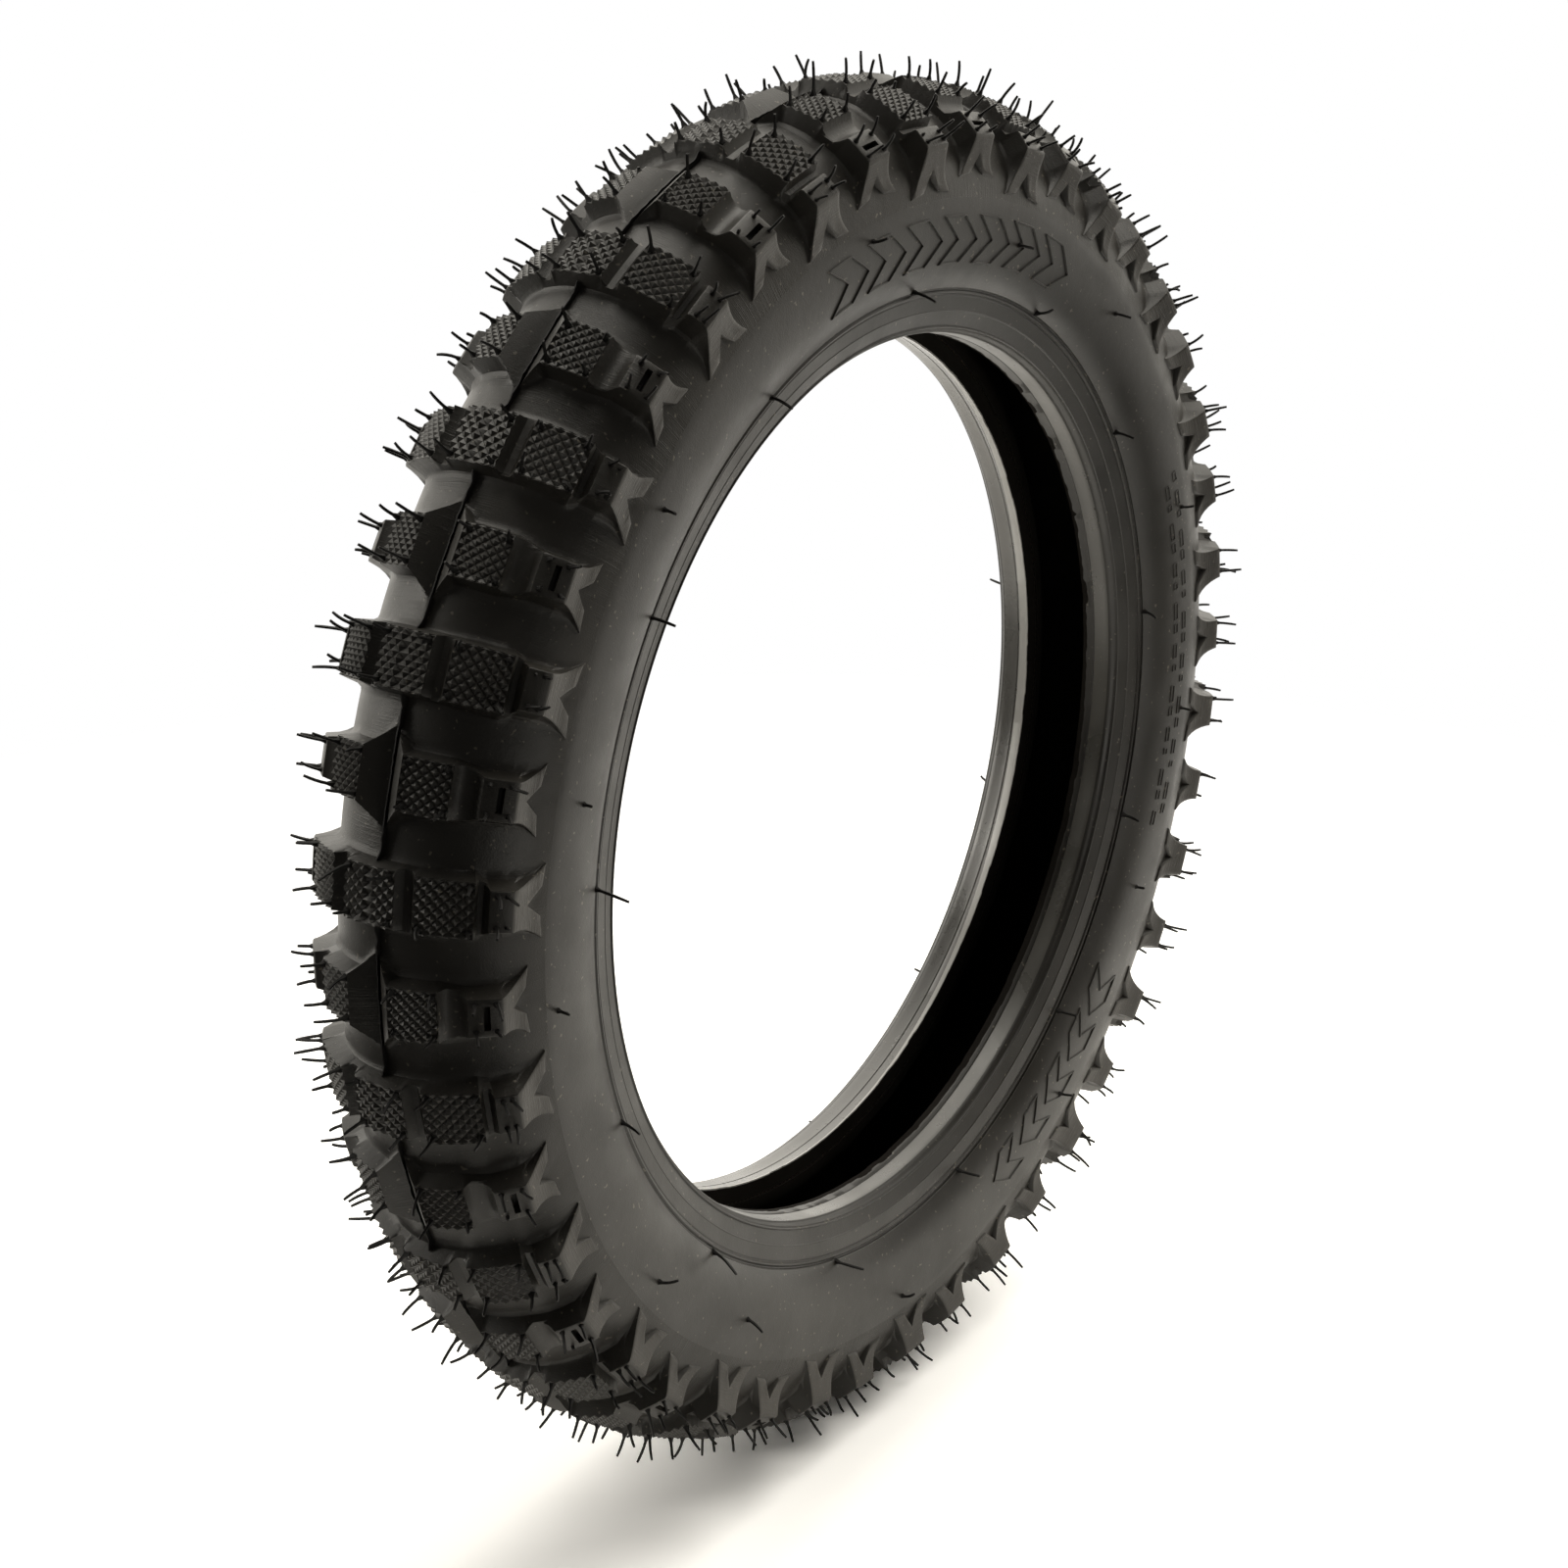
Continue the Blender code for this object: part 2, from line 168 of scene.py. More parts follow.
BACK = ((11.3, 131.1), (11.4, 127.5), (19.4, 127.9), (22.6, 138.7))  # its hidden face
TEAR_WAVES = ((7, 0.12), (23, 0.1), (61, 0.1), (97, 0.08), (151, 0.08), (233, 0.06))  # waves round, size
NICK_WAVES = ((11, 1.0), (29, 1.0), (53, 1.0))
NICK_LEVEL = 1.2
NICK_DEPTH = 0.8
TOE_TEAR = 0.25  # the tear's share that the toe gets
TOE_TEAR_MIDDLE = 0.6

# The liner's section: half an ellipse from the crown, then a curve down to the bead.
LINER_STEPS = 240
LINER_CROWN = 181.2
LINER_THICK = 0.5
LINER_CURVE = ((24.5, SECTION_RADIUS), (24.3, 152.5), (13.9, 142.0), (9.9, 134.6))
LINER_END = (9.9, 131.4)

# Whiskers.
FLOOR = -TREAD_RADIUS
WHISKER_RADIUS = 0.43
TUBE_SIDES = 5
WHISKER_TAPER = ((0, 0.12, 0.8, 1), (2.4, 1, 0.95, 0.8))  # share of its length, share of its radius
WHISKER_ROOT = 0.5  # how deep a whisker starts below the rubber
WHISKER_BEND = 1.8
WHISKER_SPREAD = (0.5, 0.7)  # how far the floor pushes it outward, along X and Y
WHISKER_INSET = (1.3, 1.0, 0.42)  # from a block's inner and outer edge, and in degrees from its sides
WHISKER_LEAN = 0.16
WHOLE, TORN = (4.4, 6.8), (1.0, 3.2)  # lengths of the tread's whiskers
TORN_SHARE, LOST_SHARE = 0.12, 0.05
SIDE_WHISKERS = 13  # on the rim line, and as many on the wall
WALL_WHISKER_DEGREES = (93, 97, 102)  # round the wall line, in rotation

# Relief on the walls, by angles. Of the arrows: how many, the first one's left edge, the step to the next,
# an arrow's width, its two radii and how far it points.
ARROWS = ((7, 107, 6.6, 3.6, 146.3, 158.8, 2.8), (5, -40, 6.4, 3.4, 146.5, 157.5, 2.6))
DASHES = 17
DASH_RADII = (152.0, 156.6)
DASH_START, DASH_STEP = 22, 2.6
DASH_WIDTHS = (1.7, 1.1, 2.0, 0.7)
DASH_HIGH = 1.6
OUTLINE_STEP = 1.4
OUTLINE_SECTION = ((-0.5, -0.3), (-0.16, 1.0), (0.16, 1.0), (0.5, -0.3))  # shares of its width and height

# The fin at the mould's parting.
FLASH_STEPS = 31
FLASH_FOOT = 0.55  # half the fin's width where it leaves the rubber
FLASH_SINK = -0.4


def wall_point(turn, lift=0.0):
    """Sideways place and radius of the wall line at a turn from the crown, lifted along its normal."""
    turn = np.asarray(turn, float)
    rise = np.where(np.cos(turn) > 0, CROWN_RISE, BEAD_DROP)
    out = rise * np.sin(turn)
    up = SECTION_HALF_WIDTH * np.cos(turn)
    length = np.hypot(out, up)
    share = np.clip((turn - CUSHION_START) / (RIM_TURN - CUSHION_START), 0, 1)
    lift = lift + CUSHION * np.sin(math.pi * share**CUSHION_SKEW)
    y = SECTION_HALF_WIDTH * np.sin(turn) + lift * out / length
    radius = SECTION_RADIUS + rise * np.cos(turn) + lift * up / length
    return y, radius


def wall_normal(turn):
    y0, r0 = wall_point(turn)
    y1, r1 = wall_point(turn, 1.0)
    return y1 - y0, r1 - r0


def top_lift(turn):
    """Height from the wall line up to the arc that the knobs' tops touch."""
    y, radius = wall_point(turn)
    ny, nr = wall_normal(turn)
    radius = radius - (TREAD_RADIUS - TREAD_ARC)
    along = y * ny + radius * nr
    return -along + np.sqrt(along**2 - y**2 - radius**2 + TREAD_ARC**2)


def line_lift(turn, first, last):
    """Height from the wall line up to the straight line between two points of the section."""
    y, radius = wall_point(turn)
    ny, nr = wall_normal(turn)
    way = (last[0] - first[0], last[1] - first[1])
    gap = (first[0] - y, first[1] - radius)
    return (gap[0] * way[1] - gap[1] * way[0]) / (ny * way[1] - nr * way[0])


TURNS = np.linspace(0, math.pi / 2, 1801)
TOP_Y = wall_point(TURNS, top_lift(TURNS))[0]
TRAVEL = np.concatenate(
    ([0.0], np.cumsum(np.hypot(*(np.diff(part) for part in wall_point(TURNS)))))
)


def turn_under(top_y):
    """The wall's turn below a point of the knobs' tops."""
    return np.interp(top_y, TOP_Y, TURNS)


def turn_at_radius(radius):
    rise = np.asarray(radius) - SECTION_RADIUS
    return np.arccos(rise / np.where(rise > 0, CROWN_RISE, BEAD_DROP))


def travel(turn):
    """Length along the wall line from the crown."""
    return np.interp(turn, TURNS, TRAVEL)


def flank(distance, height):
    """Height of a block's drafted side and its fillet, at a distance from the block's top edge."""
    fillet = np.minimum(FILLET, FILLET_SHARE * height)
    run = (height - fillet) * DRAFT
    steep = height - distance / DRAFT
    foot = np.clip((distance - run) / np.maximum(fillet, 1e-6), 0, 1)
    curved = fillet * (1 - np.sqrt(1 - (1 - foot) ** 2))
    return np.where(distance < run, steep, curved)


def zigzag(number):
    """-1 at even numbers, +1 at odd ones, straight between."""
    return 1 - 2 * np.abs(np.mod(number, 2) - 1)


def place(turn, angle, lift):
    """Points on the left half, from the wall line's turn, an angle round the axle and a height."""
    y, radius = wall_point(turn, lift)
    angle = np.radians(angle)
    return np.stack(np.broadcast_arrays(radius * np.cos(angle), y, radius * np.sin(angle)), -1)


# ---- meshes


def as_object(name, points, faces, finishes, stands_for=(), finish_of_face=None):
    """A mesh object in metres that rides on the tyre."""
    data = bpy.data.meshes.new(name)
    data.from_pydata((np.asarray(points) * MM).tolist(), [], faces)
    data.polygons.foreach_set("use_smooth", np.ones(len(data.polygons), bool))
    data.set_sharp_from_angle(angle=math.radians(SHARP))
    for finish in finishes if isinstance(finishes, tuple) else (finishes,):
        data.materials.append(finish)
    if finish_of_face is not None:
        data.polygons.foreach_set("material_index", finish_of_face)
    made = bpy.data.objects.new(name, data)
    bpy.context.scene.collection.objects.link(made)
    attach(made, "root")
    if stands_for:
        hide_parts(*stands_for)
    return made


def zipped(first, first_place, second, second_place):
    """Triangles between two chains of vertices, taken in order of their places."""
    faces = []
    i = j = 0
    while i < len(first) - 1 or j < len(second) - 1:
        more = i < len(first) - 1
        if j == len(second) - 1 or (more and first_place[i + 1] <= second_place[j + 1]):
            faces.append((first[i], first[i + 1], second[j]))
            i += 1
        else:
            faces.append((first[i], second[j + 1], second[j]))
            j += 1
    return faces


def section_lines(kind):
    """The lines along half a row's blocks: y at their tops, share of their height, pyramid or -1, drop."""
    lines = []
    edge = kind["blocks"][0][0]
    if edge > 0:
        for gap in CROWN_GAPS:
            lines.append((edge - gap, max(1 - gap / SLOPE_RUN, 0.0), -1, 0.0))
    for number, (inner, outer, pyramids) in enumerate(kind["blocks"]):
        if number:
            before = kind["blocks"][number - 1][1]
            wide = inner - before > WIDE_WEB
            for share in WEB_STATIONS if wide else NARROW_WEB_STATIONS:
                depth = (1 - WEB_SHARE) * (1 - abs(2 * share - 1) ** WEB_CURVE)
                lines.append((before + share * (inner - before), 1 - depth, -1, 0.0))
        if pyramids:
            first, last = math.asin(inner / TREAD_ARC), math.asin(outer / TREAD_ARC)
            for n, a in enumerate(np.linspace(first, last, pyramids + 1)):
                drop = SEAM_GROOVE if inner == 0 and n == 0 else 0.0
                lines.append((TREAD_ARC * math.sin(a), 1.0, n, drop))
        else:
            middle = (inner + outer) / 2
            inside = SIPE_LINES if kind["sipe"] else (0.0,)
            lines.append((inner, 1.0, -1, EDGE_DROP))
            lines.append((inner + EDGE_WIDTH, 1.0, -1, 0.0))
            lines += [(middle + SIPE_PLACE + step, 1.0, -1, 0.0) for step in inside]
            lines.append((outer - EDGE_WIDTH, 1.0, -1, 0.0))
            lines.append((outer, 1.0, -1, EDGE_DROP))
    return np.array(lines).T


def half_row(kind):
    """Turn, angle and height of every point of one half of a row, and a wave that is 1 at pyramids' tips."""
    top_y, share, pyramid, drop = section_lines(kind)
    columns = np.concatenate((ACROSS, 1 + np.array(BESIDE)))
    columns = np.concatenate((-columns[:0:-1], columns))
    part = np.clip(columns, -1, 1)
    beyond = np.clip(np.abs(columns) - 1, 0, 1)

    # Turns: fixed under the tops, then sliding down to the tail's forked end, then on to the skirt.
    edge_turn = turn_under(kind["blocks"][-1][1])
    end_turn = turn_at_radius(np.interp(np.abs(part), (0, NOTCH_HALF, 1), kind["tail"]))[None, :]
    tail = np.array(TAIL_STATIONS)[:, None]
    skirt = np.array(SKIRT_STATIONS)[:, None]
    top_turn = turn_under(top_y)[:, None] + 0 * end_turn
    tail_turn = edge_turn + tail * (end_turn - edge_turn)
    skirt_turn = end_turn + skirt * (turn_at_radius(SKIRT_RADIUS) - end_turn)
    turn = np.vstack((top_turn, tail_turn, skirt_turn))

    # Half lengths, in degrees round the axle.
    inner_end = kind["blocks"][0][0]
    stations = (inner_end - SLOPE_RUN, inner_end, kind["blocks"][-2][1], kind["blocks"][-1][0])
    halves = (kind["wide"] + SLOPE_FLARE, kind["wide"], kind["wide"], kind["narrow"])
    half = np.interp(top_y, stations, halves)[:, None]
    tail_half = kind["narrow"] + (kind["spread"] - kind["narrow"]) * tail**TAIL_CURVE
    half = np.vstack((half, tail_half, 0 * skirt + kind["spread"]))
    side = np.sign(part) * half * np.abs(part)
    angle = side + np.sign(part) * beyond * (SECTOR - SEAM - half)
    if kind["sipe"]:
        middle = sum(kind["blocks"][-1][:2]) / 2 + SIPE_PLACE
        rows = np.flatnonzero(np.abs(top_y - middle) < SIPE_HALF + 0.1)
        pinch = np.interp(np.abs(part), (0, 0.6, 0.8, 1), SIPE_BORDER) * np.sign(part)
        angle[rows] += (pinch - part)[None, :] * half[rows]

    # Heights.
    full = top_lift(top_turn)
    ridge = full * share[:, None] - drop[:, None]
    corner = wall_point(edge_turn, top_lift(edge_turn))
    tip_turn = turn_at_radius(kind["tail"][2])
    tip = wall_point(tip_turn, TAIL_PROUD)

    def tail_lift(turn):
        sag = TAIL_SAG * np.sin(math.pi * (turn - edge_turn) / (tip_turn - edge_turn))
        return line_lift(turn, corner, tip) - sag

    tail_full = tail_lift(tail_turn)
    tail_ridge = tail_full - np.where(tail == 1, EDGE_DROP, 0)
    below = travel(skirt_turn) - travel(end_turn)
    skirt_ridge = flank(below, tail_lift(end_turn) - EDGE_DROP)
    ridge = np.vstack((ridge, tail_ridge, skirt_ridge))
    full = np.vstack((full, tail_full, skirt_ridge))
    radius = wall_point(turn)[1]
    distance = np.radians(np.abs(angle) - half) * radius
    smooth = np.concatenate((pyramid < 0, np.ones(len(tail) + len(skirt), bool)))[:, None]
    full = full - np.where(smooth & (full > 0.5), EDGE_DROP, 0)
    height = np.where(beyond > 0, np.minimum(ridge, flank(np.maximum(distance, 0), full)), ridge)
    broken = smooth & (np.abs(part) == 1) & (beyond == 0)
    height = np.where(broken, np.minimum(height, full), height)
    if kind["sipe"]:
        slot = (np.abs(top_y - middle) < SIPE_HALF)[:, None] & (np.abs(part) < SIPE_REACH)[None, :]
        height[: len(top_y)] -= np.where(slot, SIPE_DEPTH, 0)

    # Small pyramids, fading down the block's sides.
    number = np.concatenate((pyramid, -np.ones(len(tail) + len(skirt))))[:, None]
    lengthwise = np.interp(part, (-1, 1), (0, KNURL_LENGTHWISE))[None, :]
    wave = zigzag(number) * zigzag(lengthwise) * np.where(number < 0, 0, 1)
    fade = np.clip(1 - np.maximum(distance, 0) / KNURL_FADE, 0, 1)
    lower = KNURL * (wave - 1) / 2 * np.where(number < 0, 0, 1)
    height = np.maximum(height + lower * fade, np.where(height > 0, 0, height))
    return turn, angle, height, wave


def whole_row(kind):
    """Both halves of a row, from the right skirt over the crown to the left skirt."""
    turn, angle, height, wave = half_row(kind)
    return (
        np.vstack((-turn[:0:-1], turn)),
        np.vstack((angle[:0:-1], angle)),
        np.vstack((height[:0:-1], height)),
        np.vstack((wave[:0:-1], wave)),
    )


def signed_place(turn, angle, lift):
    """place() for turns that are negative on the right side."""
    points = place(np.abs(turn), angle, lift)
    points[..., 1] *= np.where(turn < 0, -1, 1)
    return points


def row_faces(first, wave):
    """Two triangles for each cell, split so that every pyramid keeps its four sides."""
    rows, columns = wave.shape
    index = first + np.arange(rows * columns).reshape(rows, columns)
    a, b = index[:-1, :-1].ravel(), index[1:, :-1].ravel()
    c, d = index[1:, 1:].ravel(), index[:-1, 1:].ravel()
    flip = (wave[:-1, :-1] + wave[1:, 1:] > 0.01).ravel()[:, None]
    one = np.where(flip, np.stack((a, b, d), 1), np.stack((a, b, c), 1))
    two = np.where(flip, np.stack((b, c, d), 1), np.stack((a, c, d), 1))
    return np.vstack((one, two)).tolist(), index


def tail_cells(wave):
    """Which cells of a row, in the order of row_faces, lie on a tail."""
    rows, columns = wave.shape
    mask = np.zeros((rows - 1, columns - 1), int)
    start = len(SKIRT_STATIONS)
    end = start + len(TAIL_STATIONS)
    beside = len(BESIDE)
    mask[start:end, beside:-beside] = 1
    mask[-end:-start, beside:-beside] = 1
    return np.tile(mask.ravel(), 2)


def tread(finishes):
    """The tread's skin with every knob on it, closed by an inner face. The tails have the second finish."""
    points, faces, columns, ends, tails = [], [], [], [], []
    first = 0
    shapes = (whole_row(ROW_A), whole_row(ROW_B))
    for number in range(2 * ROW_PAIRS):
        turn, angle, height, wave = shapes[number % 2]
        centre = BOTTOM + number * 2 * SECTOR
        made = signed_place(turn, angle + centre, height)
        found, index = row_faces(first, wave)
        tails.append(tail_cells(wave))
        points.append(made.reshape(-1, 3))
        faces += found
        columns.append((index[:, 0], turn[:, 0], index[:, -1], turn[:, -1]))
        ends.append((index[0], index[-1], angle[0] + centre))
        first += wave.size
    for number in range(len(columns)):
        here, after = columns[number], columns[(number + 1) % len(columns)]
        faces += zipped(here[2].tolist(), here[3], after[0].tolist(), after[1])

    # The inner face, coarser round the axle.
    around = 4 * 2 * ROW_PAIRS
    angles = BOTTOM - SECTOR + np.arange(around) * 360 / around
    rings = []
    for turn in np.radians(TREAD_INSIDE_DEGREES):
        ring = signed_place(np.full(around, turn), angles, TREAD_INSIDE)
        points.append(ring)
        rings.append(np.append(np.arange(first, first + around), first))
        first += around
    closed = np.append(angles, angles[0] + 360)
    for here, after in zip(rings[1:], rings[:-1]):
        for i in range(around):
            faces.append((here[i], after[i], after[i + 1], here[i + 1]))
    outer_angles = np.concatenate([angle for _, _, angle in ends])
    outer_angles = np.append(outer_angles, outer_angles[0] + 360)
    for end, ring in ((0, rings[0]), (1, rings[-1])):
        chain = np.concatenate([item[end] for item in ends])
        chain = np.append(chain, chain[0])
        made = zipped(ring.tolist(), closed, chain.tolist(), outer_angles)
        faces += made if end == 1 else [face[::-1] for face in made]
    finish_of_face = np.zeros(len(faces), int)
    tails = np.concatenate(tails)
    finish_of_face[: len(tails)] = tails
    points = np.vstack(points)
    return as_object("tread_skin", points, faces, finishes, ("tread",), finish_of_face)


# ---- turned pieces


def signed_area(outline):
    y, r = outline[:, 0], outline[:, 1]
    return np.sum(y * np.roll(r, -1) - np.roll(y, -1) * r) / 2


def turned(outline, around, shift=None):
    """Points and faces of a closed section turned round the axle. shift() may move its points."""
    outline = np.array(outline, float)
    turn = np.radians(np.arange(around) * 360 / around)
    y = outline[:, 0:1] + 0 * turn
    r = outline[:, 1:2] + 0 * turn
    if shift is not None:
        y, r = shift(y, r, turn)
    points = np.stack((r * np.cos(turn), y, r * np.sin(turn)), -1).reshape(-1, 3)
    rows = len(outline)
    index = np.arange(rows * around).reshape(rows, around)
    below = np.roll(index, -1, 0)
    quads = np.stack((index, below, np.roll(below, -1, 1), np.roll(index, -1, 1)), -1).reshape(-1, 4)
    if signed_area(outline) > 0:
        quads = quads[:, ::-1]
    return points, quads.tolist()


def rib_section(height, width):
    """A small round rib, as (distance from its middle, height)."""
    return [(share * width, rise * height) for share, rise in RIB]


def sidewall(side, finish):
    """The side's rubber, from the tread's skirt down to the groove at the rim line."""
    turns = np.linspace(turn_at_radius(SKIRT_RADIUS), RIM_TURN - WALL_LIP[0][0], 26)
    outline = list(zip(*wall_point(turns)))
    for away, lift in WALL_LIP[1:]:
        outline.append(tuple(float(v) for v in wall_point(RIM_TURN - away, lift)))
    inner = np.linspace(RIM_TURN, turn_at_radius(SKIRT_RADIUS), 9)
    outline += list(zip(*wall_point(inner, WALL_INSIDE)))
    outline = [(side * y, r) for y, r in outline]
    points, faces = turned(outline, WALL_STEPS)
    node = "sidewall_left" if side > 0 else "sidewall_right"
    return as_object(node + "_skin", points, faces, finish, (node,))


def ragged(seed, waves):
    """A rough edge as a function of the angle: a sum of waves with made-up phases."""
    chance = np.random.default_rng(seed)
    parts = [(count, chance.uniform(0, 2 * math.pi), size) for count, size in waves]

    def value(turn):
        return sum(size * np.sin(count * turn + phase) for count, phase, size in parts)

    return value


def seat_edge(side, turn, fine):
    """Where the seat's surface ends: torn on the right, and on the left smooth and narrower towards +X."""
    if side > 0:
        return 10.75 + 2.5 * np.clip(np.cos(turn), 0, 1) ** 2
    wide = np.clip(np.cos(turn - math.radians(48)), 0, 1) ** 1.5
    low = 0.5 * np.clip(np.cos(turn - math.radians(258)), 0, 1) ** 8
    return 12.4 - 1.5 * (wide + low) + (0.15 + 0.5 * (wide + low)) * fine


def chafer(side, finishes):
    """The strip round the bead. finishes are for flank and heel, seat, flash, toe, and inside."""
    top, heel = np.array(RIM_LINE), np.array(HEEL)
    way = (heel - top) / np.linalg.norm(heel - top)
    out = np.array((-way[1], way[0]))
    outline = [top + way * distance + out * lift for distance, lift in RIM_GROOVES]
    for rib, height, width, swell in FLANK_RIBS:
        centre = (top[1] - rib) / -way[1]
        section = rib_section(height, width)
        outline += [top + way * (centre + d) + out * (h + swell) for d, h in section]
    middle = heel + np.array((-HEEL_ROUND - HEEL_SINK, HEEL_ROUND - HEEL_SINK))
    for degrees in HEEL_ANGLES:
        turn = math.radians(degrees)
        outline.append(middle + HEEL_ROUND * np.array((math.cos(turn), math.sin(turn))))
    zones = [len(outline) - 1]
    outline += [np.array((y, HEEL[1] - SEAT_SLOPE * (HEEL[0] - y) + rise)) for y, rise in SEAT]
    zones.append(len(outline) - 2)
    outline.append(np.array(SEAT_EDGE))
    edge_row = len(outline) - 1
    zones.append(edge_row)
    toe_rows = (len(outline), len(outline) + 1)
    outline += [np.array(TOE), np.array((TOE[0], TOE[1] + TOE_THICK))]
    zones.append(toe_rows[1])
    outline += [np.array(p) for p in INSIDE + BACK]
    edge = ragged(3 if side > 0 else 5, TEAR_WAVES)
    nicks = ragged(8 if side > 0 else 9, NICK_WAVES)

    def shift(y, r, turn):
        torn = edge(turn) + np.where(nicks(turn) > NICK_LEVEL, NICK_DEPTH, 0.0)
        for row in toe_rows:
            y[row] += side * TOE_TEAR * (torn - TOE_TEAR_MIDDLE)
        y[edge_row] = side * seat_edge(side, turn, 2 * torn)
        return y, r

    points, faces = turned(np.array(outline) * (side, 1), BEAD_STEPS, shift)
    part = np.repeat(np.arange(len(outline)), BEAD_STEPS)
    finish_of_face = np.searchsorted(zones, part, side="right")
    node = "chafer_left" if side > 0 else "chafer_right"
    return as_object(node + "_skin", points, faces, finishes, (node,), finish_of_face)


def liner(finish):
    """The smooth inside face, a thin shell from bead to bead."""
    wide, rise = LINER_CURVE[0][0], LINER_CROWN - SECTION_RADIUS
    turns = np.linspace(0, math.pi / 2, 13)
    half = [(wide * math.sin(t), SECTION_RADIUS + rise * math.cos(t)) for t in turns]
    for t in np.linspace(0, 1, 10)[1:]:
        weights = ((1 - t) ** 3, 3 * t * (1 - t) ** 2, 3 * t * t * (1 - t), t**3)
        half.append(tuple(sum(w * p[axis] for w, p in zip(weights, LINER_CURVE)) for axis in (0, 1)))
    half.append(LINER_END)
    inner = np.array([(-y, r) for y, r in half[:0:-1]] + half)
    step = np.gradient(inner, axis=0)
    normal = np.stack((-step[:, 1], step[:, 0]), 1)
    normal /= np.linalg.norm(normal, axis=1)[:, None]
    outline = np.vstack((inner, (inner + LINER_THICK * normal)[::-1]))
    points, faces = turned(outline, LINER_STEPS)
    return as_object("inner_liner_skin", points, faces, finish, ("inner_liner",))


# ---- small things


def tube(points, radii):
    """Points and faces of a closed tube along a few points."""
    points = np.asarray(points, float)
    way = np.gradient(points, axis=0)
    way /= np.linalg.norm(way, axis=1)[:, None]
    across = np.cross(way, (0.31, 0.87, 0.38))
    across /= np.linalg.norm(across, axis=1)[:, None]
    third = np.cross(way, across)
    turn = np.arange(TUBE_SIDES) * 2 * math.pi / TUBE_SIDES
    ring = np.cos(turn)[None, :, None] * across[:, None] + np.sin(turn)[None, :, None] * third[:, None]
    made = points[:, None] + ring * np.asarray(radii)[:, None, None]
    index = np.arange(len(points) * TUBE_SIDES).reshape(-1, TUBE_SIDES)
    after = np.roll(index, -1, 1)
    quads = np.stack((index[:-1], after[:-1], after[1:], index[1:]), -1).reshape(-1, 4).tolist()
    faces = quads + [index[0, ::-1].tolist(), index[-1].tolist()]
    return made.reshape(-1, 3), faces


class Pile:
    """Several small closed shapes gathered in one mesh."""

    def __init__(self):
        self.points, self.faces, self.count = [], [], 0

    def add(self, points, faces):
        self.faces += [[self.count + i for i in face] for face in faces]
        self.points.append(points)
        self.count += len(points)

    def as_object(self, name, finish, slot):
        return as_object(name, np.vstack(self.points), self.faces, finish)


def whisker(pile, root, normal, length, lean):
    """One moulding whisker: a short bent thread. Where it meets the floor it lies down on it."""
    normal = normal / np.linalg.norm(normal)
    steps = np.linspace(0, 1, 6)
    line = root + np.outer(steps * length, normal) + np.outer(steps**WHISKER_BEND * length, lean)
    line[0] -= normal * WHISKER_ROOT
    under = np.maximum(FLOOR + WHISKER_RADIUS - line[:, 2], 0)
    line[:, 2] += under
    for axis, share in enumerate(WHISKER_SPREAD):
        line[:, axis] += np.sign(root[axis] + 1e-9) * under * share
    radii = WHISKER_RADIUS * np.interp(steps, *WHISKER_TAPER)
    pile.add(*tube(line, radii))


def tread_whiskers(finish):
    """Whiskers at the corners of every block."""
    pile = Pile()
    for number in range(2 * ROW_PAIRS):
        kind = (ROW_A, ROW_B)[number % 2]
        centre = BOTTOM + number * 2 * SECTOR
        for inner, outer, pyramids in kind["blocks"]:
            half = kind["wide"] if pyramids else kind["narrow"]
            inner = -outer if inner == 0 else inner
            ends = (inner + WHISKER_INSET[0], outer - WHISKER_INSET[1])
            spots = [(y, s) for y in ends for s in (-1, 1)]
            for side in (1,) if inner < 0 else (-1, 1):
                for y, s in spots:
                    chance = random.uniform(0, 1)
                    length = random.uniform(*(WHOLE if chance > TORN_SHARE else TORN))
                    lean = random.normal(0, WHISKER_LEAN, 3)
                    if chance > 1 - LOST_SHARE:
                        continue
                    turn = turn_under(abs(y)) * (1 if y * side > 0 else -1)
                    angle = centre + s * (half - WHISKER_INSET[2])
                    lift = top_lift(abs(turn)) - 0.2
                    root = signed_place(turn, np.array(angle), lift)
                    tip = signed_place(turn, np.array(angle), lift + 1)
                    whisker(pile, root, tip - root, length, lean)
    return pile.as_object("tread_whiskers", finish, "tread_rubber")


def side_whiskers(side, finish):
    """Whiskers on the rim line, evenly, and on the wall, less evenly."""
    pile = Pile()
    step = 360 / SIDE_WHISKERS
    spots = [(RIM_TURN - 0.02, 7 + n * step, 6.5) for n in range(SIDE_WHISKERS)]
    for n in range(SIDE_WHISKERS):
        turn = math.radians(WALL_WHISKER_DEGREES[n % 3])
        spots.append((turn, 21 + n * step + random.uniform(-6, 6), 4.6))
    outward = np.array((0.0, side, 0.0))
    for turn, angle, long in spots:
        length = long + random.uniform(-1, 1)
        lean = random.normal(0, 0.2, 3)
        root = signed_place(side * turn, np.array(float(angle)), 0.0)
        whisker(pile, root, outward, length, lean)
    name = "sidewall_left_whiskers" if side > 0 else "sidewall_right_whiskers"
    return pile.as_object(name, finish, "sidewall_rubber")


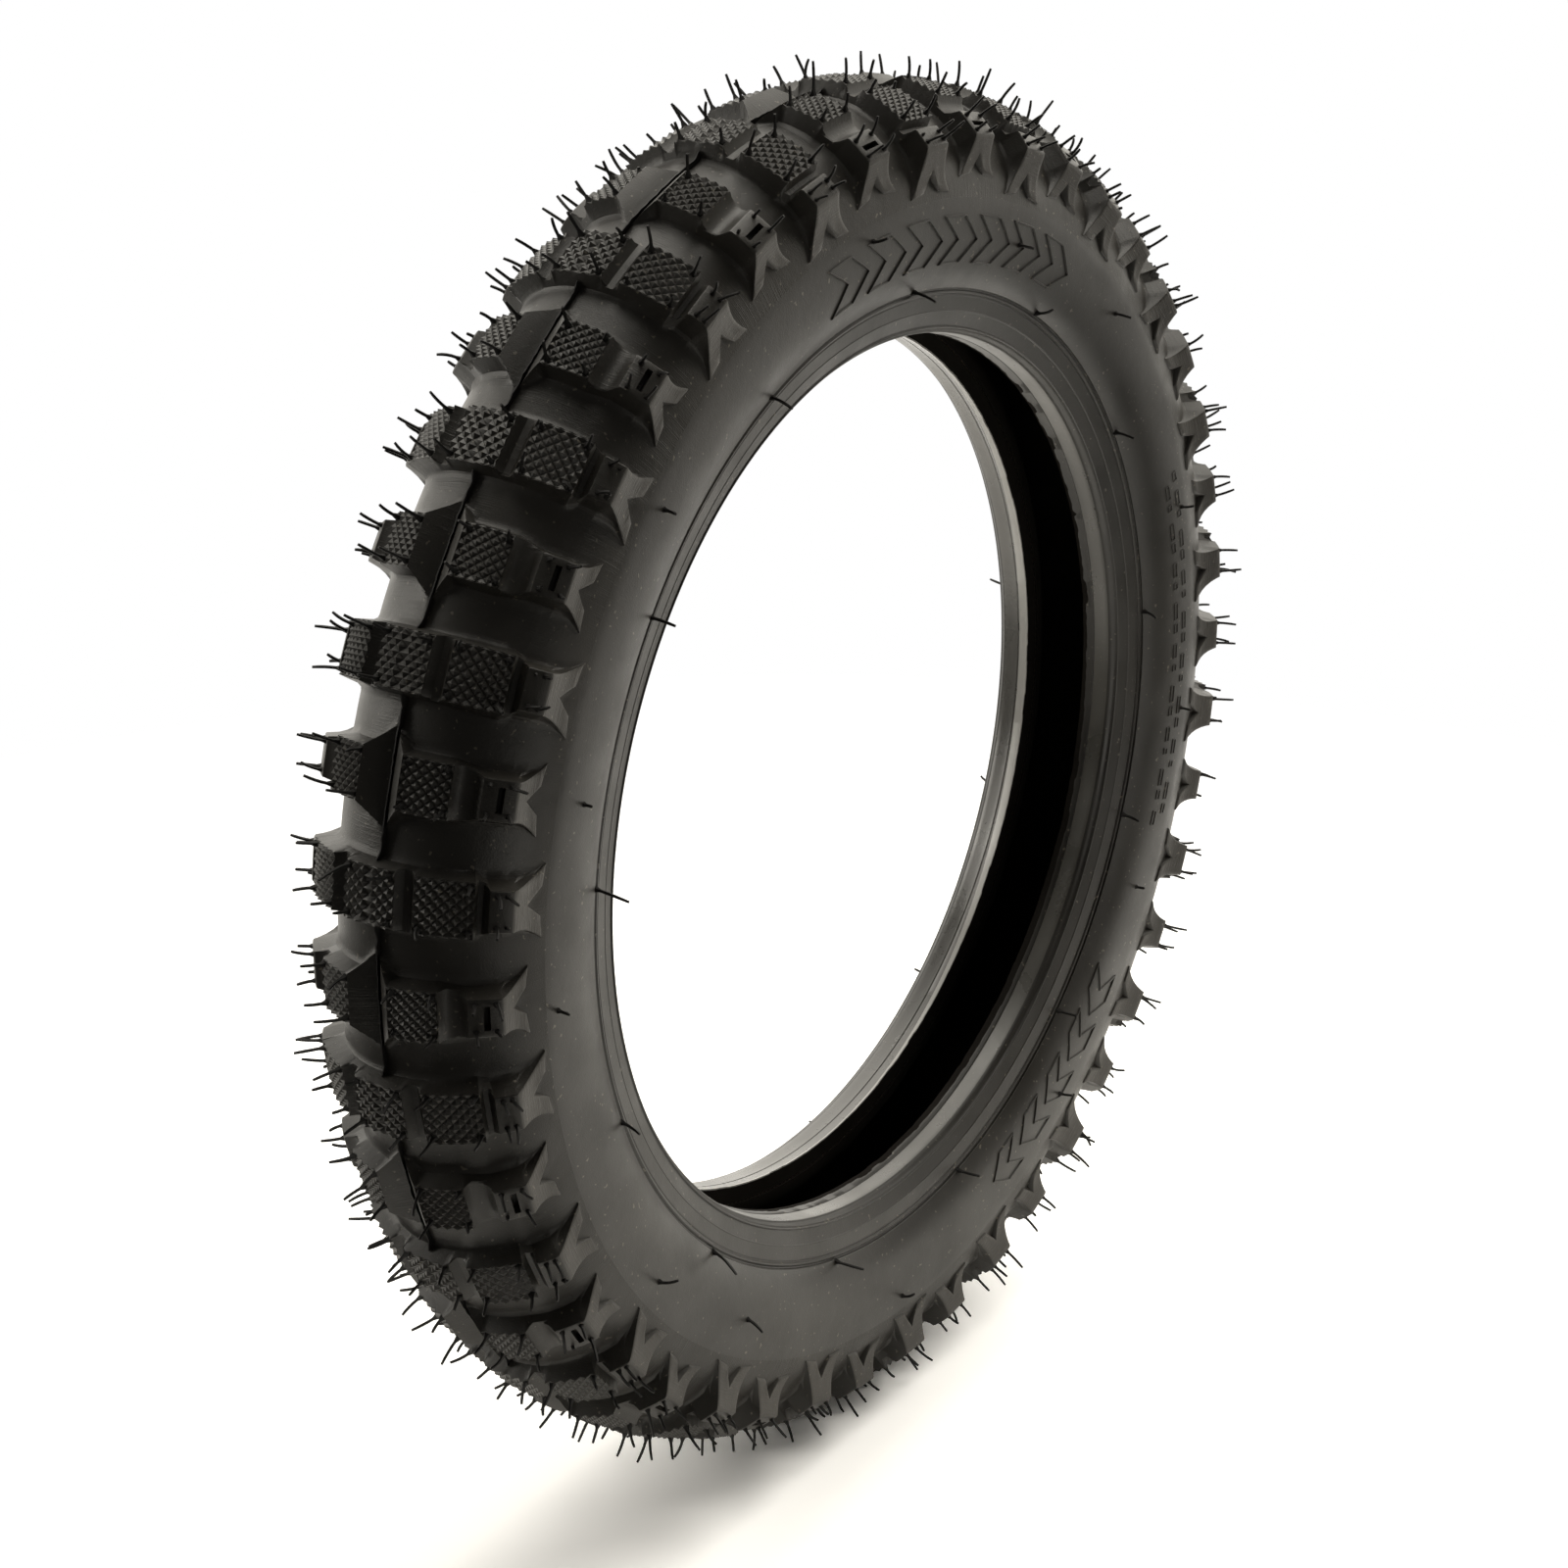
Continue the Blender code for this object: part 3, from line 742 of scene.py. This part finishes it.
def seam_flash(finish):
    """The thin fin that the mould's parting leaves in the grooves between centre knobs, bent to the right."""
    pile = Pile()
    half = 2 * SECTOR - ROW_A["wide"] - 0.25
    for number in range(ROW_PAIRS):
        centre = BOTTOM + 2 * SECTOR + number * 4 * SECTOR
        angles = centre + np.linspace(-half, half, FLASH_STEPS)
        share = np.linspace(-1, 1, FLASH_STEPS)
        height = 0.8 + 1.1 * (1 - share**4) + random.normal(0, 0.09, FLASH_STEPS)
        height += 1.6 * np.clip(np.abs(share) - 0.86, 0, 1) / 0.14
        lean = 0.5 + 0.9 * (1 - share**2) + random.normal(0, 0.06, FLASH_STEPS)
        foot = np.full(FLASH_STEPS, FLASH_FOOT)
        sunk = np.full(FLASH_STEPS, FLASH_SINK)
        corners = ((foot, sunk), (0.3 - lean, height), (-lean, height), (-foot, sunk))
        made = np.stack([signed_place(y / SECTION_HALF_WIDTH, angles, lift) for y, lift in corners])
        count = made.shape[1]
        index = np.arange(4 * count).reshape(4, count)
        after = np.roll(index, -1, 0)
        quads = np.stack((index[:, :-1], index[:, 1:], after[:, 1:], after[:, :-1]), -1)
        ends = [index[:, 0].tolist(), index[::-1, -1].tolist()]
        faces = quads.reshape(-1, 4).tolist() + ends
        pile.add(made.reshape(-1, 3), faces)
    return pile.as_object("seam_flash", finish, "tread_rubber")


def raised_line(pile, corners, side, height=0.42, width=0.75):
    """A raised outline on the side, along (angle, radius) corners of a closed shape."""
    path = []
    corners = np.array(corners, float)
    for here, after in zip(corners, np.roll(corners, -1, 0)):
        length = math.hypot(math.radians(after[0] - here[0]) * 150, after[1] - here[1])
        count = max(1, int(length / OUTLINE_STEP))
        path += [here + (after - here) * n / count for n in range(count)]
    path = np.array(path)
    flat = np.stack((np.radians(path[:, 0]) * path[:, 1].mean(), path[:, 1]), 1)
    ahead = np.roll(flat, -1, 0) - flat
    ahead /= np.linalg.norm(ahead, axis=1)[:, None]
    behind = np.roll(ahead, 1, 0)
    bisector = ahead + behind
    bisector /= np.linalg.norm(bisector, axis=1)[:, None]
    normal = np.stack((-bisector[:, 1], bisector[:, 0]), 1)
    cosine = np.clip(np.sum(normal * np.stack((-ahead[:, 1], ahead[:, 0]), 1), 1), 0.5, 1)[:, None]
    rows = []
    for offset, lift in OUTLINE_SECTION:
        moved = flat + normal / cosine * offset * width
        angle = np.degrees(moved[:, 0] / path[:, 1].mean())
        rows.append(signed_place(side * turn_at_radius(moved[:, 1]), angle, lift * height))
    made = np.stack(rows)
    index = np.arange(made.shape[0] * made.shape[1]).reshape(made.shape[:2])
    after, ahead_index = np.roll(index, -1, 0), np.roll(index, -1, 1)
    quads = np.stack((index, ahead_index, np.roll(after, -1, 1), after), -1).reshape(-1, 4)
    pile.add(made.reshape(-1, 3), quads.tolist())


def side_marks(side, finish):
    """Plain relief as such a tyre has: bands of arrows above and below, rows of dashes at the side."""
    pile = Pile()
    for count, start, step, wide, low, high, point in ARROWS:
        middle = (low + high) / 2
        for number in range(count):
            left = start - number * step
            right = left - wide
            corners = [(left, low), (right, low), (right - point, middle)]
            corners += [(right, high), (left, high), (left - point, middle)]
            raised_line(pile, corners, side)
    for row, radius in enumerate(DASH_RADII):
        for number in range(DASHES):
            left = DASH_START - DASH_STEP * number + row
            right = left - DASH_WIDTHS[(number * 3 + row) % 4]
            top = radius + DASH_HIGH
            corners = ((left, radius), (right, radius), (right, top), (left, top))
            raised_line(pile, corners, side, height=0.22, width=0.35)
    name = "sidewall_left_marks" if side > 0 else "sidewall_right_marks"
    return pile.as_object(name, finish, "sidewall_rubber")


# ---- materials

# Noise scales are per metre.
CLOUDS = 22
SHEEN_PATCHES = 55
SPECKS = 700
GRAIN, FINE_GRAIN = 420, 2600
GRAIN_DEPTH = 0.00012
DUST_COLOUR = (0.2, 0.18, 0.14)
MARKS_ACROSS = (480, 110)  # scratches across the tread, by the angle round the axle and sideways
MARK_PATCHES = 70
MARKS_ALONG = (30, 2000, 2000)  # scratches along it, by the angle, sideways and outwards
CORD_LIGHT, CORD_DARK = (0.2, 0.155, 0.1), (0.05, 0.04, 0.03)
WRAP_LIGHT, WRAP_DARK = (0.15, 0.125, 0.09), (0.04, 0.035, 0.03)
CORD_SLANT = 6.0
CORD_DEPTH = 0.0003
WIRE_DARK, WIRE_LIGHT = (0.42, 0.28, 0.14), (0.62, 0.47, 0.28)
WIRE_GRAIN = 1500


def new_material(name):
    """A material with its nodes, its links, its shader and the object's coordinates."""
    made = bpy.data.materials.new(name)
    made.use_nodes = True
    nodes = made.node_tree.nodes
    coordinates = nodes.new("ShaderNodeTexCoord").outputs["Object"]
    return made, nodes, made.node_tree.links, nodes["Principled BSDF"], coordinates


def add_node(nodes, kind, **settings):
    node = nodes.new(kind)
    for key, value in settings.items():
        if key in node.inputs:
            node.inputs[key].default_value = value
        else:
            setattr(node, key, value)
    return node


def noise(nodes, links, source, scale, detail, roughness=0.5):
    node = add_node(nodes, "ShaderNodeTexNoise", Scale=scale, Detail=detail, Roughness=roughness)
    links.new(source, node.inputs["Vector"])
    return node.outputs["Fac"]


def ramp(nodes, links, source, low, high, to_low=0.0, to_high=1.0):
    node = nodes.new("ShaderNodeMapRange")
    node.inputs["From Min"].default_value = low
    node.inputs["From Max"].default_value = high
    node.inputs["To Min"].default_value = to_low
    node.inputs["To Max"].default_value = to_high
    links.new(source, node.inputs["Value"])
    return node.outputs["Result"]


def blend_colour(nodes, links, share, low, high):
    """A mix of two colours, each a plain one or a socket."""
    node = nodes.new("ShaderNodeMix")
    node.data_type = "RGBA"
    links.new(share, node.inputs["Factor"])
    for socket, value in ((node.inputs[6], low), (node.inputs[7], high)):
        if isinstance(value, bpy.types.NodeSocket):
            links.new(value, socket)
        else:
            socket.default_value = (*value, 1)
    return node.outputs[2]


def round_axle(nodes, links, coordinates):
    """The parts of a place, and its angle round the axle in radians."""
    parts = nodes.new("ShaderNodeSeparateXYZ")
    links.new(coordinates, parts.inputs["Vector"])
    angle = add_node(nodes, "ShaderNodeMath", operation="ARCTAN2")
    links.new(parts.outputs["Z"], angle.inputs[0])
    links.new(parts.outputs["X"], angle.inputs[1])
    return parts, angle.outputs[0]


def scaled(nodes, links, source, factor):
    node = add_node(nodes, "ShaderNodeMath", operation="MULTIPLY")
    links.new(source, node.inputs[0])
    node.inputs[1].default_value = factor
    return node.outputs[0]


def stretched_noise(nodes, links, sources):
    """Noise over up to three sources, each given with its own scale."""
    joined = nodes.new("ShaderNodeCombineXYZ")
    for number, (source, factor) in enumerate(sources):
        links.new(scaled(nodes, links, source, factor), joined.inputs[number])
    return ramp(nodes, links, noise(nodes, links, joined.outputs[0], 1.0, 2), 0.5, 0.75)


def combined(nodes, links, operation, first, second):
    node = add_node(nodes, "ShaderNodeMath", operation=operation)
    links.new(first, node.inputs[0])
    links.new(second, node.inputs[1])
    return node.outputs[0]


def tool_marks(nodes, links, coordinates, along):
    """The mould's fine scratches, as a height: in patches across the tread, or all over and along it."""
    parts, angle = round_axle(nodes, links, coordinates)
    sideways = parts.outputs["Y"]
    if not along:
        across = stretched_noise(nodes, links, zip((angle, sideways), MARKS_ACROSS))
        patches = ramp(nodes, links, noise(nodes, links, coordinates, MARK_PATCHES, 2), 0.45, 0.6)
        return combined(nodes, links, "MULTIPLY", across, patches)
    flat = add_node(nodes, "ShaderNodeVectorMath", operation="MULTIPLY")
    links.new(coordinates, flat.inputs[0])
    flat.inputs[1].default_value = (1, 0, 1)
    radius = add_node(nodes, "ShaderNodeVectorMath", operation="LENGTH")
    links.new(flat.outputs[0], radius.inputs[0])
    sources = (angle, sideways, radius.outputs["Value"])
    return stretched_noise(nodes, links, zip(sources, MARKS_ALONG))


def rubber(name, colour, rough, dust=0.5, grain=0.35, shine=0.5, marks=None):
    """Moulded rubber: fine grain, cloudy sheen and specks of dust. marks: "across" or "along" the tread."""
    made, nodes, links, shader, coordinates = new_material(name)
    lighter = tuple(c * 1.6 + 0.003 for c in colour)
    cloud = ramp(nodes, links, noise(nodes, links, coordinates, CLOUDS, 4), 0.35, 0.7)
    base = blend_colour(nodes, links, cloud, colour, lighter)
    specks = ramp(nodes, links, noise(nodes, links, coordinates, SPECKS, 1), 0.71, 0.76, 0, dust)
    base = blend_colour(nodes, links, specks, base, DUST_COLOUR)
    links.new(base, shader.inputs["Base Color"])
    shader.inputs["Specular IOR Level"].default_value = shine
    patches = noise(nodes, links, coordinates, SHEEN_PATCHES, 5, 0.6)
    sheen = ramp(nodes, links, patches, 0.3, 0.7, rough - 0.07, rough + 0.08)
    links.new(sheen, shader.inputs["Roughness"])
    height = noise(nodes, links, coordinates, FINE_GRAIN, 2)
    others = [noise(nodes, links, coordinates, GRAIN, 3)]
    if marks:
        others.append(tool_marks(nodes, links, coordinates, marks == "along"))
    for other in others:
        height = combined(nodes, links, "ADD", height, other)
    bump = add_node(nodes, "ShaderNodeBump", Strength=grain, Distance=GRAIN_DEPTH)
    links.new(height, bump.inputs["Height"])
    links.new(bump.outputs["Normal"], shader.inputs["Normal"])
    return made


def cord(name, colour, dark, lines):
    """Rubbered cloth: threads that slant round the tyre, one way or the other by the sign of lines."""
    made, nodes, links, shader, coordinates = new_material(name)
    parts, angle = round_axle(nodes, links, coordinates)
    side_way = add_node(nodes, "ShaderNodeMath", operation="MULTIPLY_ADD")
    links.new(parts.outputs["Y"], side_way.inputs[0])
    side_way.inputs[1].default_value = lines * CORD_SLANT
    links.new(scaled(nodes, links, angle, lines), side_way.inputs[2])
    wave = add_node(nodes, "ShaderNodeMath", operation="SINE")
    links.new(side_way.outputs[0], wave.inputs[0])
    share = ramp(nodes, links, wave.outputs[0], -1, 1)
    links.new(blend_colour(nodes, links, share, dark, colour), shader.inputs["Base Color"])
    shader.inputs["Roughness"].default_value = 0.7
    bump = add_node(nodes, "ShaderNodeBump", Strength=0.5, Distance=CORD_DEPTH)
    links.new(share, bump.inputs["Height"])
    links.new(bump.outputs["Normal"], shader.inputs["Normal"])
    return made


def wire_metal(name):
    """Bronze-coated steel wire with fine drawing marks."""
    made, nodes, links, shader, coordinates = new_material(name)
    share = ramp(nodes, links, noise(nodes, links, coordinates, WIRE_GRAIN, 4), 0.3, 0.7)
    colour = blend_colour(nodes, links, share, WIRE_DARK, WIRE_LIGHT)
    links.new(colour, shader.inputs["Base Color"])
    links.new(ramp(nodes, links, share, 0, 1, 0.25, 0.45), shader.inputs["Roughness"])
    shader.inputs["Metallic"].default_value = 1.0
    return made


def dress_hidden_nodes():
    """The layers inside keep their CAD shapes and get real finishes."""
    finishes = {
        "outer_ply": cord("outer_cord", CORD_LIGHT, CORD_DARK, 420),
        "inner_ply": cord("inner_cord", CORD_LIGHT, CORD_DARK, -420),
        "bead_wrap": cord("wrap_weave", WRAP_LIGHT, WRAP_DARK, 640),
        "bead_filler": rubber("filler_rubber_finish", (0.036, 0.034, 0.04), 0.6),
        "bead_wire": wire_metal("bead_wire_finish"),
    }
    for name, node in frame["nodes"].items():
        for start, finish in finishes.items():
            if name.startswith(start):
                for slot in node.material_slots:
                    slot.material = finish


# ---- stage

CAMERA_AZIMUTH = -54.9  # from straight in front of the tyre's right side, towards -X
CAMERA_RISE = 20.52
CAMERA_DISTANCE = 807.7
CAMERA_SHIFT = (14.1, 3.7)  # how far the tyre's centre lies right of and above the picture's
LENS = 65.06
WARM = (1.0, 0.96, 0.875)
ROOM_LIGHT, WALL_LIGHT = 0.06, 2.2
WALL_WAY = (0.77, 0.54, 0.2)  # from the tyre to the lit wall
TABLE_FRONT = ((0.1, -0.42), (0.4, -0.26), (1.2, 0.02), (6.0, 1.5))
TABLE_BACK = ((6.0, 5.6), (3.9, 5.4), (-0.33, 0.08), (-0.3, -0.1), (-0.08, -0.38))
TABLE = TABLE_FRONT + TABLE_BACK
PAPER = (0.92, 0.91, 0.89)
PAPER_SEEN = (0.915, 0.915, 0.92)
FLOOR_GAIN = 1.4  # the picture is exposed for the rubber, so the paper burns out
GLOW = 2.0  # its strength to the rubber; the camera sees one less
GLOW_START, GLOW_FULL = 0.3, 0.7  # distances from the tyre's centre between which the glow sets in
FAR_GLOW = 0.345  # its share in what the rubber mirrors


def camera():
    turn, rise = math.radians(CAMERA_AZIMUTH), math.radians(CAMERA_RISE)
    back = Vector((math.sin(turn) * math.cos(rise), -math.cos(turn) * math.cos(rise), math.sin(rise)))
    right = Vector((math.cos(turn), math.sin(turn), 0))
    up = back.cross(right)
    spot = back * CAMERA_DISTANCE - right * CAMERA_SHIFT[0] - up * CAMERA_SHIFT[1]
    axes = Matrix((right, up, back)).transposed().to_4x4()
    data = bpy.data.cameras.new("camera")
    data.lens = LENS
    data.clip_start, data.clip_end = 0.01, 100
    made = bpy.data.objects.new("camera", data)
    bpy.context.scene.collection.objects.link(made)
    made.matrix_world = Matrix.Translation(spot * MM) @ axes
    bpy.context.scene.camera = made


def softbox(name, spot, aim, size, power):
    """A lit rectangle that faces its aim, in metres and watts."""
    data = bpy.data.lights.new(name, "AREA")
    data.shape = "RECTANGLE"
    data.size, data.size_y = size
    data.energy = power
    data.color = WARM
    made = bpy.data.objects.new(name, data)
    bpy.context.scene.collection.objects.link(made)
    made.location = spot
    made.rotation_euler = (Vector(aim) - Vector(spot)).to_track_quat("-Z", "Y").to_euler()
    return made


def mix_shaders(nodes, links, share, first, second):
    mixed = nodes.new("ShaderNodeMixShader")
    for number, source in enumerate((share, first, second)):
        links.new(source, mixed.inputs[number])
    return mixed.outputs[0]


def floor():
    """White paper that ends just outside the picture at the left and in front, where the room is dark.

    Away from the tyre the camera sees it as plain white, and the rubber sees it with some glow mixed in.
    """
    data = bpy.data.meshes.new("floor")
    data.from_pydata([(x, y, FLOOR * MM) for x, y in TABLE], [], [list(range(len(TABLE)))])
    made = bpy.data.objects.new("floor", data)
    bpy.context.scene.collection.objects.link(made)
    finish, nodes, links, shader, coordinates = new_material("floor_paper")
    shader.inputs["Roughness"].default_value = 0.9
    shader.inputs["Specular IOR Level"].default_value = 0.1
    reach = add_node(nodes, "ShaderNodeVectorMath", operation="LENGTH")
    links.new(coordinates, reach.inputs[0])
    share = ramp(nodes, links, reach.outputs["Value"], GLOW_START, GLOW_FULL)
    seen = nodes.new("ShaderNodeLightPath").outputs["Is Camera Ray"]
    paper = blend_colour(nodes, links, seen, PAPER, tuple(FLOOR_GAIN * c for c in PAPER_SEEN))
    links.new(paper, shader.inputs["Base Color"])
    amount = add_node(nodes, "ShaderNodeMath", operation="MAXIMUM")
    links.new(seen, amount.inputs[0])
    amount.inputs[1].default_value = FAR_GLOW
    strength = add_node(nodes, "ShaderNodeMath", operation="SUBTRACT")
    strength.inputs[0].default_value = GLOW
    links.new(seen, strength.inputs[1])
    glow = add_node(nodes, "ShaderNodeEmission")
    glow.inputs["Color"].default_value = (1, 1, 1, 1)
    links.new(strength.outputs[0], glow.inputs["Strength"])
    part = combined(nodes, links, "MULTIPLY", share, amount.outputs[0])
    mixed = mix_shaders(nodes, links, part, shader.outputs[0], glow.outputs[0])
    links.new(mixed, nodes["Material Output"].inputs["Surface"])
    data.materials.append(finish)


def world():
    """White to the camera; for the light, a white wall behind the tyre and a dim room elsewhere."""
    made = bpy.data.worlds.new("studio")
    bpy.context.scene.world = made
    made.use_nodes = True
    nodes, links = made.node_tree.nodes, made.node_tree.links
    nodes.clear()
    coordinates = nodes.new("ShaderNodeTexCoord").outputs["Generated"]
    behind = add_node(nodes, "ShaderNodeVectorMath", operation="DOT_PRODUCT")
    links.new(coordinates, behind.inputs[0])
    behind.inputs[1].default_value = WALL_WAY
    share = ramp(nodes, links, behind.outputs["Value"], 0.15, 0.75, ROOM_LIGHT, WALL_LIGHT)
    light = add_node(nodes, "ShaderNodeBackground")
    light.inputs["Color"].default_value = (*WARM, 1)
    links.new(share, light.inputs["Strength"])
    white = add_node(nodes, "ShaderNodeBackground", Strength=1.0)
    white.inputs["Color"].default_value = (1, 1, 1, 1)
    seen = nodes.new("ShaderNodeLightPath").outputs["Is Camera Ray"]
    mixed = mix_shaders(nodes, links, seen, light.outputs[0], white.outputs[0])
    output = nodes.new("ShaderNodeOutputWorld")
    links.new(mixed, output.inputs["Surface"])


def studio():
    bpy.context.scene.view_settings.view_transform = "Standard"
    camera()
    floor()
    world()
    key = softbox("key", spot=(0.95, -0.4, 0.65), aim=(0, 0, 0), size=(0.7, 0.7), power=14)
    key.visible_glossy = False  # it lights the paper without a glare on the rubber
    softbox("front", spot=(-0.2, -0.95, -0.15), aim=(-0.1, 0, 0), size=(0.8, 0.35), power=1.2)
    softbox("top", spot=(0.1, 0.1, 1.2), aim=(0, 0, 0), size=(0.8, 0.8), power=6)
    softbox("edge", spot=(-0.75, 1.1, 0.4), aim=(-0.1, 0, 0), size=(0.5, 0.8), power=6)


def build():
    knobs = rubber("knob_rubber_finish", (0.017, 0.0155, 0.013), 0.45, 0.45, 0.45, marks="across")
    tails = rubber("tail_rubber_finish", (0.027, 0.0245, 0.021), 0.5, 0.4, 0.5, marks="along")
    skin = rubber("wall_rubber_finish", (0.011, 0.0097, 0.0078), 0.4, 0.45, 0.3, shine=0.62)
    seat = rubber("bead_seat_finish", (0.038, 0.036, 0.031), 0.3, 0.2, 0.2, shine=0.9)
    # The far bead's seat is painted lighter than the near one's: painted light where the far seat catches
    # light inside the opening.
    far_seat_painted_light = rubber("far_bead_seat_painted_light", (0.06, 0.058, 0.053), 0.28, 0.1, 0.2, shine=1.0)
    # A light grey strip on the far bead's toe: a painted highlight of the toe's face, which catches the light
    # inside the opening.
    far_toe_painted_highlight = rubber("far_toe_highlight_finish", (0.3, 0.295, 0.28), 0.35, 0.0, 0.2, shine=1.0)
    # Black rubber of the liner and of the strips inside the tyre; on the near bead's toe it is painted shade.
    black_and_toe_shade = rubber("liner_rubber_and_toe_shade", (0.007, 0.006, 0.005), 0.9, 0.0, 0.1, shine=0.05)
    # Near-black rubber for the whiskers and the parting fin; on the fin the black is also painted shadow, the
    # dark band that the leaning fin casts.
    thread = rubber("whisker_rubber_and_fin_shadow", (0.003, 0.0026, 0.0022), 0.6, 0.0, 0.0, shine=0.4)
    tread((knobs, tails))
    # The fin is near black: painted shadow of the band it casts over the groove.
    seam_flash(thread)
    tread_whiskers(thread)
    for side in (-1, 1):
        sidewall(side, skin)
        if side > 0:
            # On the far bead the seat gets painted light and the toe's strip a painted highlight.
            chafer(side, (skin, far_seat_painted_light, far_seat_painted_light, far_toe_painted_highlight, black_and_toe_shade))
        else:
            # On the near bead the toe's strip is black: painted shade, so that the dark inside seems to begin
            # where the seat ends.
            chafer(side, (skin, seat, skin, black_and_toe_shade, black_and_toe_shade))
        side_whiskers(side, thread)
        side_marks(side, skin)
    liner(black_and_toe_shade)
    dress_hidden_nodes()


build()
studio()
